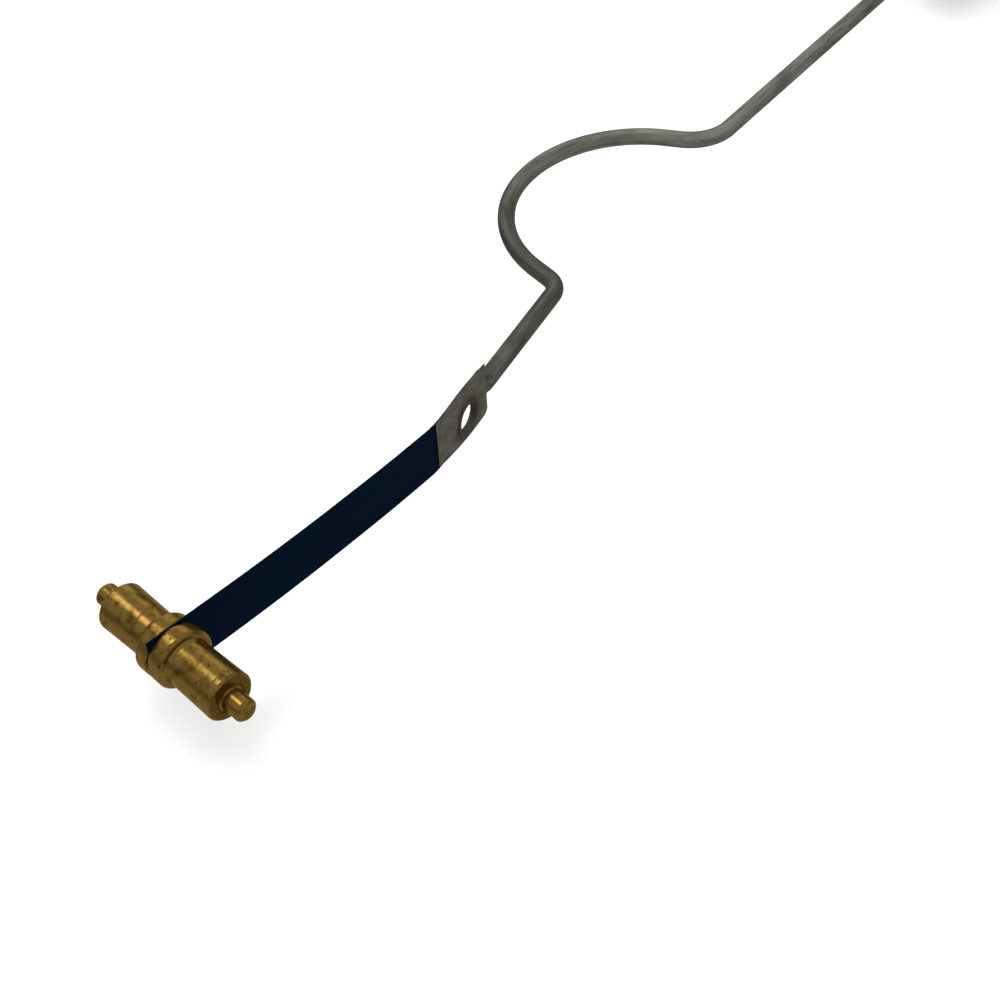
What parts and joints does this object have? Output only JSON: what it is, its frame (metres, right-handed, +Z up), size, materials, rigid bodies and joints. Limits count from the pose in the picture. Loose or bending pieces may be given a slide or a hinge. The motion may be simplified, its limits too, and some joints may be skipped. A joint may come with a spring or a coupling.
{
  "type": "flame sensor probe",
  "caption": "Flame sensor probe: a turned brass cross-head on a blued leaf, riveted to a bent steel electrode rod held in a ceramic insulator with an oval flange and a screw terminal.",
  "frame": {"origin": "on the straight rod's axis, in the front face of the mounting flange, midway between the two fixing holes", "axes": "+X along the straight rod from the sensing head towards the terminal; +Y the side the rod's bow bulges to, and the direction of the two fixing holes; +Z up, across the width of the sensing leaf"},
  "size_m": [0.2315, 0.044, 0.02],
  "materials": {
    "brass": "turned, lightly tarnished",
    "blued_leaf": "blue-black, satin",
    "bare_steel": "dull, heat-tinted round the hole",
    "electrode_wire": "drawn wire, dull oxide",
    "cement": "matt, gritty",
    "steatite": "glazed",
    "fibre": "pressed fibre",
    "plated_steel": "zinc plated",
    "spring_steel": "satin",
    "rivet_steel": "hammered heads",
    "terminal_brass": "machined"
  },
  "bodies": {
    "probe_body": {"electrode_rod": "electrode_wire", "sensing_leaf": "blued_leaf", "end_tab": "bare_steel", "tab_eyelet": "bare_steel", "front_cement": "cement", "insulator": "steatite", "rear_cement": "cement", "flange_gasket": "fibre", "mounting_flange": "plated_steel", "seat_gasket": "fibre", "spring_washer": "spring_steel", "retainer_cup": "plated_steel", "retainer_rivets": "rivet_steel", "terminal_stud": "terminal_brass", "terminal_nut": "terminal_brass"},
    "sensing_head": {"cross_pin": "brass", "near_bush": "brass", "far_bush": "brass"},
    "clamp_washer": {"terminal_washer": "terminal_brass"},
    "clamp_nut": {"thumb_nut": "terminal_brass"}
  },
  "joints": [
    {"name": "leaf_flex", "type": "hinge", "parent": "probe_body", "child": "sensing_head", "pos_m": [-0.159, -0.00491, 0], "axis": [0, 0, 1], "range_deg": [-20, 20], "stiffness_Nm_per_rad": 0.026, "deforming": ["sensing_leaf"]},
    {"name": "washer_slide", "type": "slide", "parent": "probe_body", "child": "clamp_washer", "axis": [1, 0, 0], "range_m": [0, 0.00399]},
    {"name": "thumb_nut_turn", "type": "hinge", "parent": "clamp_washer", "child": "clamp_nut", "pos_m": [0.0405, 0, 0], "axis": [1, 0, 0], "range_deg": [0, 2057]}
  ],
  "couplings": [
    {"joint": "thumb_nut_turn", "follows": "washer_slide", "rad_per_m": 8976}
  ]
}
